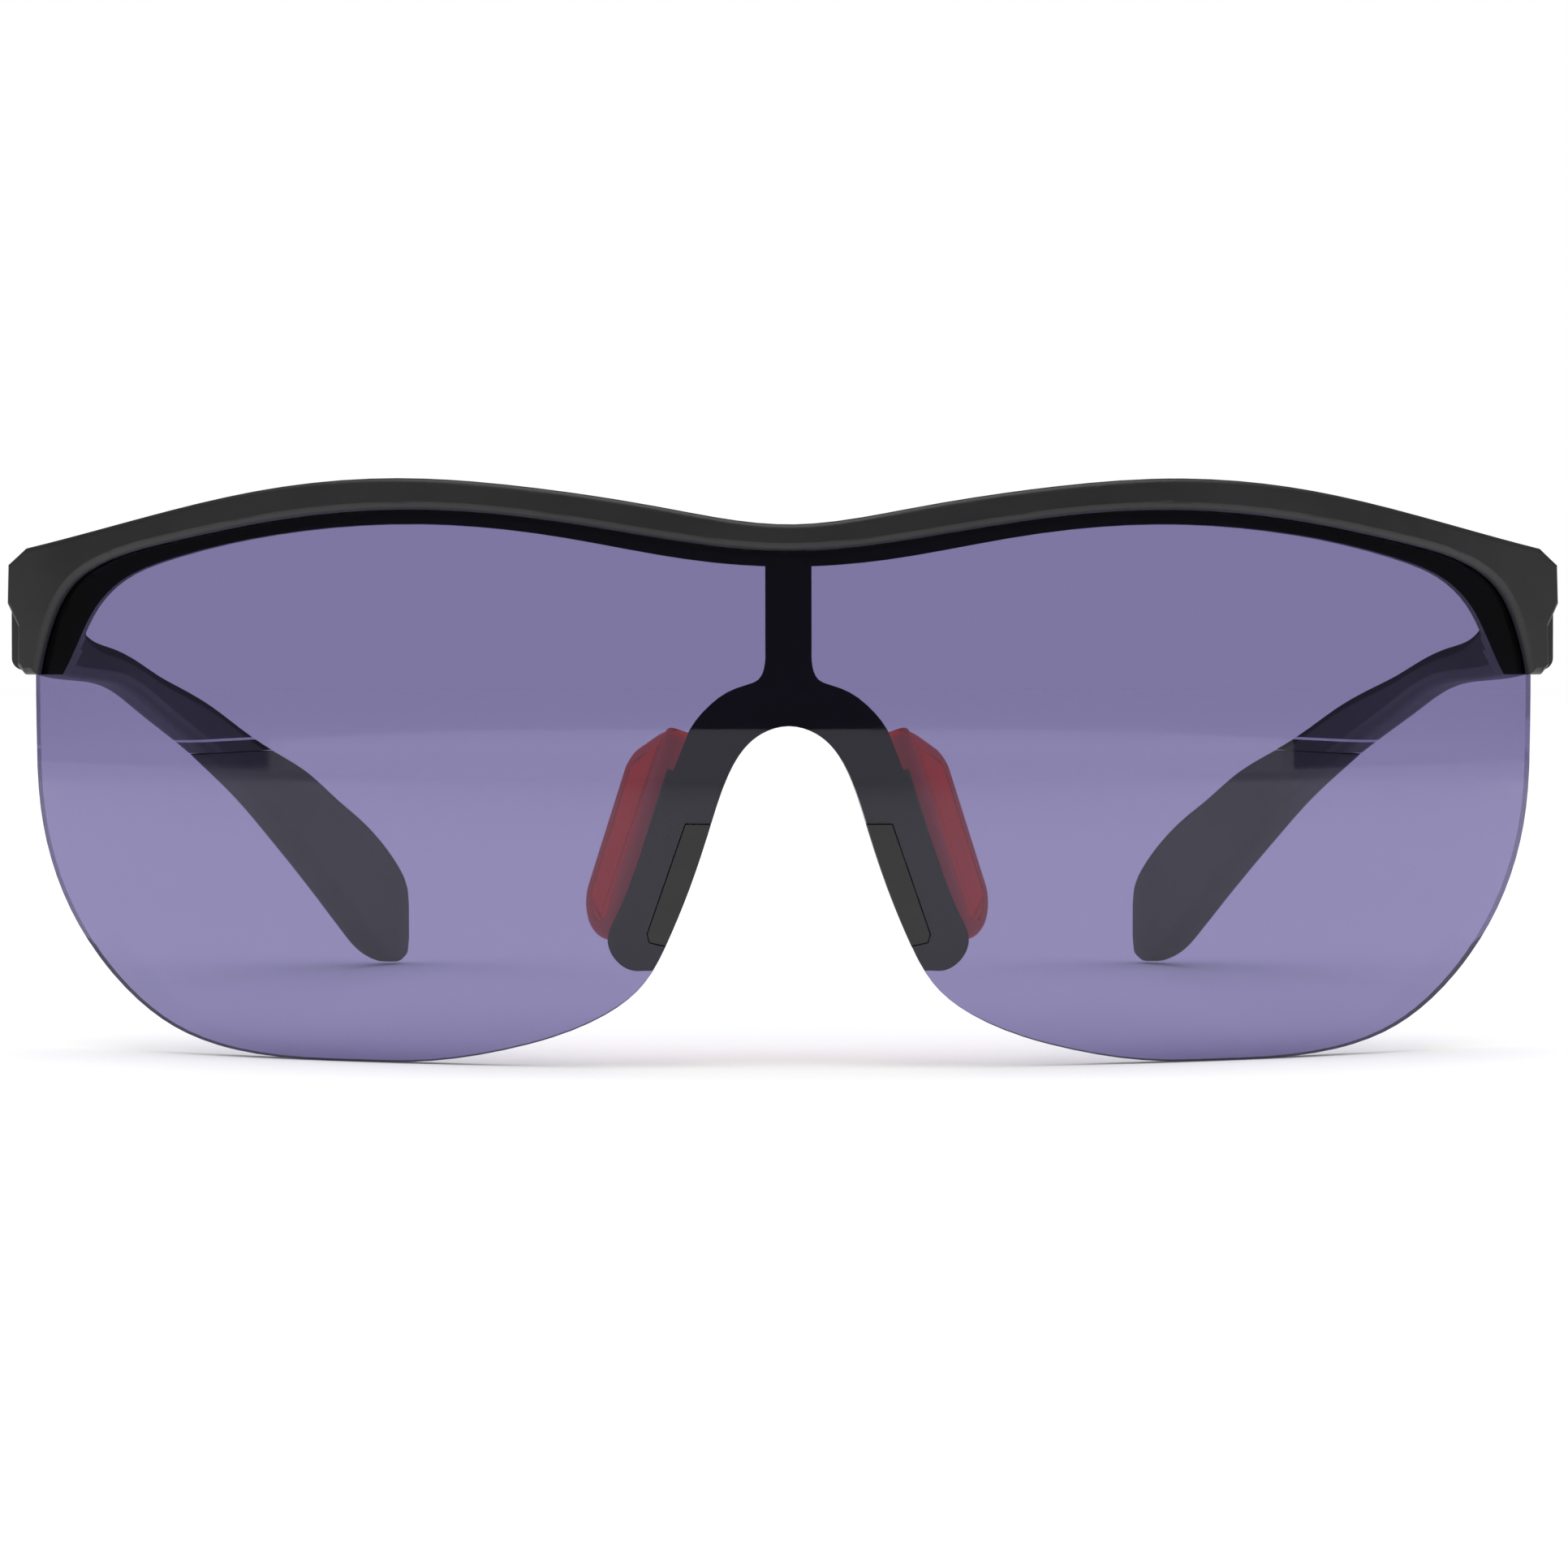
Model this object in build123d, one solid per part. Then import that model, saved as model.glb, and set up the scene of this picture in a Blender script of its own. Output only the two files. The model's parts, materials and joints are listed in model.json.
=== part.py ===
from build123d import *
from math import cos, radians, sin
import os

# Wraparound sport sunglasses. Millimetres, +Z up, the wearer looks along -Y.
# Origin: under the middle of the glasses, on the surface that they rest on.
# Depth is counted backwards from the front of the lens, and is shifted when a part is written.

# --- front ---------------------------------------------------------------------------------
front_width = 143.0        # across the end pieces
front_height = 51.2        # lens bottom to the highest point of the brow
wrap_radius = 95.0         # lens curve seen from above
crown_radius = 160.0       # lens curve seen from the side
crown_height = 24.0        # height at which the lens stands furthest forward
lens_thickness = 2.0
lip_thickness = 1.0        # brow lip in front of the lens
flange_thickness = 2.0     # brow flange, strut and arch behind the lens
groove_depth = 1.1         # how far the lens stands up in the brow
brow_round = 0.6           # rounded front edges of the brow
strut_width = 4.0          # strut between brow and nose arch
lens_clearance = 0.10      # lens in its groove, clips in their notches
ear_length = 3.2           # end piece behind the lens corner
nose_reach = 18.0          # half width of the nose area, which keeps its shape

# --- nose brackets and pads ----------------------------------------------------------------
bracket_thickness = 2.4
bracket_top = 29.2         # seam between arch and bracket
tenon_size = (1.9, 0.9, 1.6)
tenon_clearance = 0.05
tenon_x = 5.2
channel_radius = 2.0       # round channel behind the bracket
channel_length = 13.0
channel_set = 1.2          # channel axis behind the back of the bracket
bead_radius = 1.30
bead_clearance = 0.05
web_thickness = 0.8
web_length = 6.2           # from the bead into the pad
pad_depth = 8.0            # from the channel axis to the back edge of the pad
pad_height = 19.5
pad_thickness = 2.6
pad_splay = 38.0           # degrees that a pad turns outward from straight back
pad_tilt = 17.5            # degrees that a bracket leans outward towards its foot
pad_slack = 0.30           # pad front edge from the channel
pad_swing = 8.0            # degrees that a pad swivels each way

# --- hinges --------------------------------------------------------------------------------
hinge_inset = 4.5          # hinge axis from the outer side
hinge_back = 1.35          # hinge axis behind the end piece
barrel_radius = 1.5
screw_radius = 0.75
screw_clearance = 0.04
screw_head = (1.25, 0.6)
end_barrel = 2.0
mid_barrel = 2.4
washer_thickness = 0.30
stack_gap = 0.05
leaf_thickness = 1.15
leaf_height = 6.6
temple_leaf_height = 4.2
leaf_reach = 6.6           # temple leaf behind the hinge axis
leaf_seat_depth = 2.4      # front leaf, forward from the back of the end piece
leaf_clearance = 0.05
hinge_clearance = 0.35     # mouldings round the barrels
butt_gap = 0.15            # end piece to temple when open
rivet_radius = 0.5
rivet_head = (0.85, 0.35)
rivet_pitch = 3.6
rivet_clearance = 0.03
rivet_length = 2.3

# --- temples -------------------------------------------------------------------------------
temple_length = 119.0      # from the end piece to the end of the tip
temple_round = 1.1
seam_drop = 14.2           # seam between arm and rubber, below the hinge middle
neck_gap = 0.1             # shut line between arm and rubber
core_thickness = 1.5
core_margin = 1.6
core_clearance = 0.05
core_span = (0.38, 0.90)   # where the core starts and stops, along the temple
accent_depth = 0.5
accent_clearance = 0.05
accent_height = 2.5
accent_span = (0.035, 0.20)   # along the temple

# --- outlines, drawn on the right half for a half width of 71.5 and a height of 51.2 ---------
DRAWN_HALF = 71.5
DRAWN_HEIGHT = 51.2
BROW_TOP = [(0, 47.0), (11, 48.5), (22.5, 50.3), (34, 51.2), (46, 50.4), (58.5, 47.9), (69.6, 45.5)]
EAR_SIDE = [(71.5, 44.0), (71.5, 40.4), (70.3, 38.3), (70.3, 34.7), (69.5, 33.9)]
LIP_EDGE = [(0, 44.7), (8.4, 45.4), (19.7, 47.25), (31.2, 48.4), (43, 47.9), (55.3, 45.8), (61.2, 44.2),
            (64.8, 41.9), (66.6, 38.9), (68.0, 33.9)]
FLANGE_EDGE = [(0, 43.4), (8.5, 44.0), (19.8, 46.0), (31.4, 47.2), (43.3, 46.7), (55.7, 44.3), (60.2, 42.5),
               (62.9, 40.0), (64.6, 36.9), (66.2, 33.9)]
LENS_SIDE = [(68.5, 38.0), (68.5, 30.0), (68.0, 21.3), (65.6, 13.6), (60.9, 6.9), (54.6, 2.2), (46.5, 0.2),
             (35.3, 0.0)]
NOSE_EDGE = [(0, 29.6), (3.0, 28.5), (5.3, 25.2), (6.75, 21.0), (8.4, 16.0), (10.3, 11.3), (12.6, 7.2),
             (16.9, 4.0), (24.0, 1.5), (35.3, 0.0)]
ARCH_SIDE = [(2.0, 36.2), (2.0, 35.3), (2.15, 34.4), (2.6, 33.6), (3.6, 33.15), (5.3, 32.5), (6.8, 31.4),
             (8.0, 30.1), (8.6, 29.2)]
BRACKET_SIDE = [(8.6, 29.2), (10.2, 25.2), (12.3, 20.0), (14.9, 13.2), (15.7, 10.8), (14.8, 9.0), (12.6, 8.3)]
CLIP = [(6.0, 21.1), (8.9, 21.1), (12.2, 11.6), (12.0, 10.9), (9.0, 10.3)]

# Temple, left: share of the length, inner and outer side in from the hinge axis, low and high side
# over the hinge middle.
TEMPLE = [(0.00, 0.60, 4.60, -5.2, 5.1), (0.05, 0.60, 4.60, -5.4, 4.1),
          (0.12, -0.40, 3.40, -6.1, -1.0), (0.21, -2.40, 1.10, -6.6, -3.1),
          (0.38, -4.80, -1.50, -9.8, -5.9), (0.54, -8.10, -4.80, -14.4, -9.1),
          (0.67, -12.2, -8.60, -20.0, -13.4), (0.76, -15.9, -12.2, -25.8, -16.5),
          (0.84, -18.9, -15.2, -31.0, -20.1), (0.90, -21.1, -17.4, -35.0, -22.7),
          (0.94, -22.7, -19.1, -37.8, -25.0), (0.97, -24.2, -20.6, -39.1, -27.6),
          (0.99, -25.0, -21.7, -39.2, -29.8), (1.00, -25.1, -22.6, -37.8, -31.8)]

half = front_width / 2
stretch = (half - nose_reach) / (DRAWN_HALF - nose_reach)
rise = front_height / DRAWN_HEIGHT


def place(point):
    """Drawn point of the front, at the chosen width and height."""
    x, z = point
    x = x if x < nose_reach else nose_reach + (x - nose_reach) * stretch
    return (x, z * rise)


def low(z):
    return z * rise


def wrap(x, off=0.0, z=crown_height):
    """Depth of the lens curve at a place, or of a surface that lies this far behind it."""
    sag = crown_radius - (crown_radius**2 - (z - crown_height) ** 2) ** 0.5
    return wrap_radius - ((wrap_radius - off - sag) ** 2 - x**2) ** 0.5


lens_back = lens_thickness + lens_clearance
flange_back = lens_back + flange_thickness
bracket_back = lens_back + bracket_thickness
ear_back = wrap(half) + ear_length
hinge_x = half - hinge_inset
hinge_y = ear_back + hinge_back
hinge_z = low(39.5)
butt_y = ear_back + butt_gap
seam_z = hinge_z - seam_drop
overall_depth = butt_y + temple_length
stack_height = 2 * end_barrel + mid_barrel + 2 * washer_thickness + 4 * stack_gap
stack_low = hinge_z - stack_height / 2
leaf_front = ear_back - leaf_seat_depth
nose_x, nose_z = 10.6, low(19.0)
nose_y = wrap(nose_x, bracket_back, nose_z) + channel_set


def both_sides(points):
    """A right half outline that starts on the middle line, with its mirror image in front."""
    return [(-x, z) for x, z in reversed(points)] + list(points[1 if points[0][0] == 0 else 0:])


def shell(near, far):
    """Curved slab between two distances behind the lens front."""
    tall = 36 * rise
    def arc(off):
        r = crown_radius - off
        reach = lambda z: wrap_radius - crown_radius + (r**2 - z**2) ** 0.5
        return [(reach(z), crown_height + z) for z in (-tall, 0, tall)]
    front, back = arc(near), arc(far)
    face = make_face([ThreePointArc(*front), Line(front[2], back[2]), ThreePointArc(*back),
                      Line(back[0], front[0])])
    slab = revolve(Plane.XZ * face, Axis.Z, 180)
    return Pos(0, wrap_radius, 0) * Rot(0, 0, 180) * slab


def through(*edges):
    """Outline in the front view, cut straight through from front to back."""
    face = Plane.XZ * make_face([part for edge in edges for part in in_lengths(edge)])
    return Pos(0, 40, 0) * extrude(face, 60, both=True)


def in_lengths(line, longest=14.0):
    """A long curve as several short ones, which gives truer cuts."""
    count = int(line.length // longest) + 1
    if count == 1 or len(line.edges()) > 1:
        return [line]
    return [line.trim(k / count, (k + 1) / count) for k in range(count)]


def spline(points):
    return Spline(*[place(p) for p in points])


def chain(points):
    return Polyline(*[place(p) for p in points])


def band_outline(edge):
    """Brow from its top line down to an inner edge, with the end pieces."""
    side = EAR_SIDE + [edge[-1]]
    left = [(-x, z) for x, z in side]
    return through(spline(both_sides(BROW_TOP)), chain([BROW_TOP[-1]] + side), spline(both_sides(edge)),
                   chain([(-BROW_TOP[-1][0], BROW_TOP[-1][1])] + left))


def lens_outline(grow, foot_line=None):
    """Lens as seen from the front, grown by a clearance at the brow, closed level or by a line."""
    top = [(x, z + groove_depth + grow) for x, z in LIP_EDGE[:7]]
    corner = [(65.7 + grow, 43.0 + grow), (67.9 + grow, 40.9)]
    side = [(x + grow, z) for x, z in LENS_SIDE[:2]]
    edge = [place(p) for p in both_sides(top + corner + side + LENS_SIDE[2:])]
    foot = LENS_SIDE[-1]
    foot_line = foot_line or chain([foot, (-foot[0], foot[1])])
    return through(Spline(*edge, tangents=[(-1, 0), (-1, 0)]), foot_line)


def nose_line(edge):
    return Spline(*[place(p) for p in both_sides(edge)], tangents=[(1, 0), (1, 0)])


def nose_cutout(grow=0.0):
    """Everything inside the cut-out for the nose."""
    edge = [(max(x - grow, 0), z - (grow if x == 0 else 0)) for x, z in NOSE_EDGE]
    foot = edge[-1][0]
    return through(nose_line(edge), chain([(foot, edge[-1][1]), (foot, -6), (-foot, -6), (-foot, edge[-1][1])]))


def clip_outline(grow):
    """Clip of a nose bracket, grown by a clearance."""
    face = make_face(Polyline(*[place(p) for p in CLIP], close=True))
    face = offset(face, grow, kind=Kind.INTERSECTION) if grow else face
    return Pos(0, 40, 0) * extrude(Plane.XZ * face, 60, both=True)


def mirrored(solid):
    return mirror(solid, Plane.YZ)


def block(x, y, z):
    """Box between two values each way."""
    size = [b - a for a, b in (x, y, z)]
    return Pos(*[(a + b) / 2 for a, b in (x, y, z)]) * Box(*size)


def rod(radius, low_z, high_z, x=None, y=None):
    """Upright round bar, on the hinge axis unless told otherwise."""
    x, y = hinge_x if x is None else x, hinge_y if y is None else y
    return Pos(x, y, (low_z + high_z) / 2) * Cylinder(radius, high_z - low_z)


def cross_rod(radius, from_x, to_x, y, z):
    """Round bar along X."""
    return Pos((from_x + to_x) / 2, y, z) * Rot(0, 90, 0) * Cylinder(radius, to_x - from_x)


# --- front ---------------------------------------------------------------------------------

def shield_lens():
    notch = clip_outline(lens_clearance)
    outline = lens_outline(0, nose_line(NOSE_EDGE)) - notch - mirrored(notch)
    right = shell(0, lens_thickness) & outline & block((-half - 9, 0), (-9, 99), (-9, 99))
    return right + mirrored(right)


def arch_outline():
    """Strut and nose arch, down to the seam with the brackets."""
    w = strut_width / 2
    side = [(x - 2.0 + w, z) for x, z in ARCH_SIDE]
    top = (side[0][0], 43.9)
    right = Spline(*[place(p) for p in side])
    left = Spline(*[place((-x, z)) for x, z in side])
    return through(chain([side[0], top, (-top[0], 43.9), (-side[0][0], side[0][1])]), right, left,
                   chain([side[-1], (-side[-1][0], side[-1][1])]))


def tenon(grow):
    """Tenon of the left nose bracket in the arch."""
    wide, thick, tall = [size / 2 + grow for size in tenon_size]
    y = wrap(tenon_x, lens_back + flange_thickness / 2, low(bracket_top))
    z = low(bracket_top)
    return block((tenon_x - wide, tenon_x + wide), (y - thick, y + thick), (z - 0.8, z + 2 * tall - grow))


def leaf_seat():
    """Room in the left end piece for the hinge leaf and its barrels."""
    side = hinge_x + leaf_thickness / 2 + leaf_clearance
    tall = leaf_height / 2 + leaf_clearance
    seat = block((side - 9, side), (leaf_front - leaf_clearance, ear_back + 9),
                 (hinge_z - tall, hinge_z + tall))
    round_room = rod(barrel_radius + hinge_clearance, stack_low - 1.2, stack_low + stack_height + 1.4)
    return seat + round_room


def on_front(edge):
    """Whether an edge of the brow bounds its front surface."""
    spot = edge @ 0.5
    return abs(spot.Y - wrap(spot.X, -lip_thickness, spot.Z)) < 0.02 and edge.length > 0.3


def front_frame():
    pocket = shell(-lens_clearance, lens_back) & lens_outline(lens_clearance)
    brow = shell(-lip_thickness, flange_back) & band_outline(LIP_EDGE)
    brow = fillet(brow.edges().filter_by(on_front), min(brow_round, 0.8 * lip_thickness))
    rear = shell(lens_back, flange_back) & (band_outline(FLANGE_EDGE) + (arch_outline() - nose_cutout()))
    ends = block((hinge_x - 2.6, half + 5), (0, ear_back), (0, 99))
    seat = ends & band_outline(FLANGE_EDGE) & shell(lens_back, 4 * flange_back)
    frame = brow - pocket + rear + seat + mirrored(seat)
    frame -= block((-half - 9, half + 9), (ear_back, ear_back + 60), (0, 99))
    cuts = leaf_seat() + tenon(tenon_clearance)
    cuts += front_rivet_shafts(rivet_radius + rivet_clearance)
    return frame - cuts - mirrored(cuts)


# --- nose ----------------------------------------------------------------------------------

def nose_plane():
    """On the swivel axis of the left pad: local X runs along the pad, local Z up the bracket."""
    a, b = radians(pad_tilt), radians(pad_splay)
    along = (sin(b) * cos(a), cos(b), sin(b) * sin(a))
    return Plane(origin=(nose_x, nose_y, nose_z), x_dir=along, z_dir=(-sin(a), 0, cos(a)))


def nose_leg():
    edge = [place(p) for p in BRACKET_SIDE]
    top, foot = BRACKET_SIDE[0], BRACKET_SIDE[-1]
    outline = through(Spline(*edge), chain([foot, (1.2, foot[1]), (1.2, top[1]), top])) - nose_cutout()
    clip = clip_outline(0) - nose_cutout()
    leg = (shell(lens_back, bracket_back) & outline) + (shell(0, lens_back + 0.2) & clip) + tenon(0)
    mouth = 2 * (web_thickness / 2 + bead_clearance + channel_radius * sin(radians(pad_swing)))
    bore = Cylinder(bead_radius + bead_clearance, channel_length + 2)
    slot = Pos(channel_radius, 0, 0) * Box(2 * channel_radius, mouth, channel_length + 2)
    channel = Cylinder(channel_radius, channel_length)
    plane = nose_plane()
    return leg + plane * channel - plane * (bore + slot)


def web(grow):
    """Web of the insert, which the pad is moulded over."""
    tall = channel_length - 1.0 + 2 * grow
    reach = web_length + grow
    return Pos(reach / 2, 0, 0) * Box(reach, web_thickness + 2 * grow, tall)


def pad_insert():
    bead = Cylinder(bead_radius, channel_length - 1.0)
    return nose_plane() * (bead + web(0))


def nose_pad():
    front = channel_radius + pad_slack
    top, foot = pad_height * 0.514, -pad_height * 0.486
    face = make_face(Polyline((front, top), (pad_depth - 4.2, top), (pad_depth, top - 3.4),
                              (pad_depth, foot + 2.6), (pad_depth - 2.4, foot), (front, foot), close=True))
    face = fillet(face.vertices(), 1.1)
    body = extrude(Plane.XZ * face, pad_thickness / 2, both=True)
    body = fillet(body.edges().group_by(Axis.Y)[0] + body.edges().group_by(Axis.Y)[-1], 0.9)
    return nose_plane() * (body - web(bead_clearance))


# --- hinges --------------------------------------------------------------------------------

def front_rivet_shafts(radius):
    x = hinge_x - leaf_thickness / 2
    y = leaf_front + 1.2
    return [cross_rod(radius, x, x + rivet_length, y, hinge_z + s * rivet_pitch / 2) for s in (-1, 1)]


def temple_rivet_shafts(radius):
    x = hinge_x - leaf_thickness / 2
    y = hinge_y + leaf_reach - 1.2
    return [cross_rod(radius, x, x + rivet_length, y - s * 2.4, hinge_z) for s in (0, 1)]


def with_heads(shafts):
    """Screws with a low round head on the inner side of the leaf."""
    screws = []
    for shaft in shafts:
        spot = shaft.center()
        x = hinge_x - leaf_thickness / 2
        screws.append(shaft + cross_rod(rivet_head[0], x - rivet_head[1], x, spot.Y, spot.Z))
    return Compound(children=screws)


def screw_bore():
    return rod(screw_radius + screw_clearance, stack_low - 1, stack_low + stack_height + 1)


def middle_room():
    """Room round the middle barrel and the washers."""
    grow = stack_gap
    return rod(barrel_radius + hinge_clearance - 0.05, stack_low + end_barrel + grow / 2,
               stack_low + stack_height - end_barrel - grow / 2)


def front_hinge():
    tall = leaf_height / 2
    half_leaf = leaf_thickness / 2
    leaf = block((hinge_x - half_leaf, hinge_x + half_leaf), (leaf_front, hinge_y),
                 (hinge_z - tall, hinge_z + tall))
    top = stack_low + stack_height
    ends = rod(barrel_radius, stack_low, stack_low + end_barrel) + rod(barrel_radius, top - end_barrel, top)
    hinge = leaf - middle_room() + ends - screw_bore()
    for shaft in front_rivet_shafts(rivet_radius + rivet_clearance):
        hinge -= shaft
    return hinge


def temple_hinge():
    tall = temple_leaf_height / 2
    half_leaf = leaf_thickness / 2
    leaf = block((hinge_x - half_leaf, hinge_x + half_leaf), (hinge_y, hinge_y + leaf_reach),
                 (hinge_z - tall, hinge_z + tall))
    room = barrel_radius + hinge_clearance - 0.05
    middle = hinge_z - mid_barrel / 2, hinge_z + mid_barrel / 2
    leaf -= rod(room, stack_low - 1, middle[0]) + rod(room, middle[1], stack_low + stack_height + 1)
    hinge = leaf + rod(barrel_radius, *middle) - screw_bore()
    for shaft in temple_rivet_shafts(rivet_radius + rivet_clearance):
        hinge -= shaft
    return hinge


def hinge_screw():
    top = stack_low + stack_height
    head = rod(screw_head[0], top, top + screw_head[1])
    slot = block((hinge_x - 0.15, hinge_x + 0.15), (hinge_y - 2, hinge_y + 2), (top + 0.3, top + 1))
    return rod(screw_radius, stack_low - 0.2, top) + head - slot


def hinge_washers():
    low_one = stack_low + end_barrel + stack_gap
    high_one = hinge_z + mid_barrel / 2 + stack_gap
    rings = []
    for z in (low_one, high_one):
        ring = rod(barrel_radius - 0.05, z, z + washer_thickness)
        rings.append(ring - screw_bore())
    return Compound(children=rings)


# --- temples -------------------------------------------------------------------------------

def along(share):
    return butt_y + share * temple_length


def section(share, inner, outer, low_side, high_side):
    """Rounded upright section across the temple."""
    wide, tall = outer - inner, high_side - low_side
    corner = min(temple_round, 0.45 * wide, 0.45 * tall)
    spot = (hinge_x + (inner + outer) / 2, along(share), hinge_z + (high_side + low_side) / 2)
    return Plane(origin=spot, x_dir=(1, 0, 0), z_dir=(0, -1, 0)) * RectangleRounded(wide, tall, corner)


def envelope():
    """Whole left temple with its rubber tip."""
    return loft([section(*row) for row in TEMPLE])


def core(grow=0.0):
    """Thin core of the arm inside the rubber."""
    reach, margin = core_thickness / 2 + grow, core_margin - grow
    rows = [row for row in TEMPLE if core_span[0] <= row[0] <= core_span[1]]
    return loft([section(t, (a + b) / 2 - reach, (a + b) / 2 + reach, c + margin, d - margin)
                 for t, a, b, c, d in rows])


def above(z):
    return block((0, half + 20), (0, 2 * overall_depth), (z, z + 200))


def accent(grow=0.0):
    """Room for the pale inlay, from inside the arm to well outside it."""
    planks = []
    for t, inner, outer, low_side, high_side in [row for row in TEMPLE if row[0] < 0.5]:
        spot = (hinge_x + outer + 1, along(t), hinge_z + (high_side + low_side) / 2)
        wide, tall = 2 * (1 + accent_depth + grow), accent_height + 2 * grow
        planks.append(Plane(origin=spot, x_dir=(1, 0, 0), z_dir=(0, -1, 0)) * Rectangle(wide, tall))
    start, end = along(accent_span[0]) - grow, along(accent_span[1]) + grow
    return loft(planks) & block((0, half + 20), (start, end), (0, 99))


def temple_arm(body):
    arm = (body & above(seam_z)) + (core() & block((0, half), (0, 999), (-9, seam_z + 1)))
    room = rod(barrel_radius + hinge_clearance, 0, 99)
    side = leaf_thickness / 2 + leaf_clearance
    tall = temple_leaf_height / 2 + leaf_clearance
    seat = block((hinge_x - side - 9, hinge_x + side), (0, hinge_y + leaf_reach + leaf_clearance),
                 (hinge_z - tall, hinge_z + tall))
    arm = arm - room - seat - accent(accent_clearance)
    for shaft in temple_rivet_shafts(rivet_radius + rivet_clearance):
        arm -= shaft
    return arm


def temple_tip(body):
    return (body - above(seam_z - neck_gap)) - core(core_clearance)


def write(name, solid, right_too=True):
    """Write a part, and its mirror image for the wearer's right."""
    shift = Pos(0, -overall_depth / 2, 0)
    if not right_too:
        export_step(shift * solid, f"parts/{name}.step")
        return
    export_step(shift * solid, f"parts/{name}_left.step")
    export_step(shift * mirrored(solid), f"parts/{name}_right.step")


if __name__ == "__main__":
    os.makedirs("parts", exist_ok=True)
    write("front_frame", front_frame(), False)
    write("shield_lens", shield_lens(), False)
    temple = envelope()
    for name, solid in {
        "nose_leg": nose_leg(), "nose_pad": nose_pad(), "pad_insert": pad_insert(),
        "front_hinge": front_hinge(), "temple_hinge": temple_hinge(),
        "hinge_screw": hinge_screw(), "hinge_washers": hinge_washers(),
        "front_rivets": with_heads(front_rivet_shafts(rivet_radius)),
        "temple_rivets": with_heads(temple_rivet_shafts(rivet_radius)),
        "temple_arm": temple_arm(temple), "temple_tip": temple_tip(temple),
        "temple_accent": accent() & temple,
    }.items():
        write(name, solid)
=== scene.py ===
"""Wraparound sport sunglasses: finishes, soft pieces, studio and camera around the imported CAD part."""

import json
import logging
import math
from dataclasses import dataclass, field
from enum import Enum

import bmesh
import bpy
from mathutils import Matrix, Vector


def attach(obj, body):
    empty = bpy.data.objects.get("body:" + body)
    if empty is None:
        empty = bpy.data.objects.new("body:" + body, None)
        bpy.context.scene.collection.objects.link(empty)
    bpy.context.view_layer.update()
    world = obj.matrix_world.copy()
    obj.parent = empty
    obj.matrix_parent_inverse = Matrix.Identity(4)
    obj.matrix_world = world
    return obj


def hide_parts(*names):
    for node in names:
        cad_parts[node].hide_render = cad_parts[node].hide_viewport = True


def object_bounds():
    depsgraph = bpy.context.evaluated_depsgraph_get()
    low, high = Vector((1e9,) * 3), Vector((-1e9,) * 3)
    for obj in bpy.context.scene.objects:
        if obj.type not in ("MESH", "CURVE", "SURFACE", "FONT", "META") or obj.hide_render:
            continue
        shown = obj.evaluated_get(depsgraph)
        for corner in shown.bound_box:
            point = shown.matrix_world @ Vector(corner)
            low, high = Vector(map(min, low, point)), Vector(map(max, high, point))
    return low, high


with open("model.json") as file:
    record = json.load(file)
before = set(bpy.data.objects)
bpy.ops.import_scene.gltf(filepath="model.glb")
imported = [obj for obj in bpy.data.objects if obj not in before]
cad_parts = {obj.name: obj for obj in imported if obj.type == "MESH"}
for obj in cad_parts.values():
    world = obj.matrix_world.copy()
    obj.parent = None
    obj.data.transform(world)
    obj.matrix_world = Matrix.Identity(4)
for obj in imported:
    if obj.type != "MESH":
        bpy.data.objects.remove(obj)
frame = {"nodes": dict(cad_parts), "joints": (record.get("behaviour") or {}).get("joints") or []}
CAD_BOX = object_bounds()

LOG = logging.getLogger("sunglasses")
MM = 0.001
WELD = 0.000002


# --- shader helpers ------------------------------------------------------------------------


class Value:
    """A number socket that takes part in Python expressions."""

    def __init__(self, nodes: "Nodes", socket: bpy.types.NodeSocket) -> None:
        """Wrap a socket.

        Args:
            nodes: The tree that new Math nodes go into.
            socket: An output socket that carries a number.
        """
        self.nodes = nodes
        self.socket = socket

    def _math(self, operation: str, first: object, second: object) -> "Value":
        """Add one Math node.

        Args:
            operation: The node's operation.
            first: First operand, a number or a Value.
            second: Second operand, a number or a Value.

        Returns:
            The result as a Value.
        """
        node = self.nodes.add("ShaderNodeMath", {"operation": operation}, {0: first, 1: second})
        return Value(self.nodes, node.outputs[0])

    def __add__(self, other: object) -> "Value":
        """Sum.

        Args:
            other: A number or a Value.

        Returns:
            The sum.
        """
        return self._math("ADD", self, other)

    def __radd__(self, other: object) -> "Value":
        """Sum, with the number in front.

        Args:
            other: A number or a Value.

        Returns:
            The sum.
        """
        return self._math("ADD", other, self)

    def __rsub__(self, other: object) -> "Value":
        """Difference, with the number in front.

        Args:
            other: A number or a Value.

        Returns:
            The number less this.
        """
        return self._math("SUBTRACT", other, self)

    def __mul__(self, other: object) -> "Value":
        """Product.

        Args:
            other: A number or a Value.

        Returns:
            The product.
        """
        return self._math("MULTIPLY", self, other)

    def __gt__(self, other: object) -> "Value":
        """One where this is above the other.

        Args:
            other: A number or a Value.

        Returns:
            One or zero.
        """
        return self._math("GREATER_THAN", self, other)

    def __lt__(self, other: object) -> "Value":
        """One where this is below the other.

        Args:
            other: A number or a Value.

        Returns:
            One or zero.
        """
        return self._math("LESS_THAN", self, other)

    def __pow__(self, other: object) -> "Value":
        """Power.

        Args:
            other: A number or a Value.

        Returns:
            This raised to the other.
        """
        return self._math("POWER", self, other)

    def __rmul__(self, other: object) -> "Value":
        """Product, with the number in front.

        Args:
            other: A number or a Value.

        Returns:
            The product.
        """
        return self._math("MULTIPLY", other, self)


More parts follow.
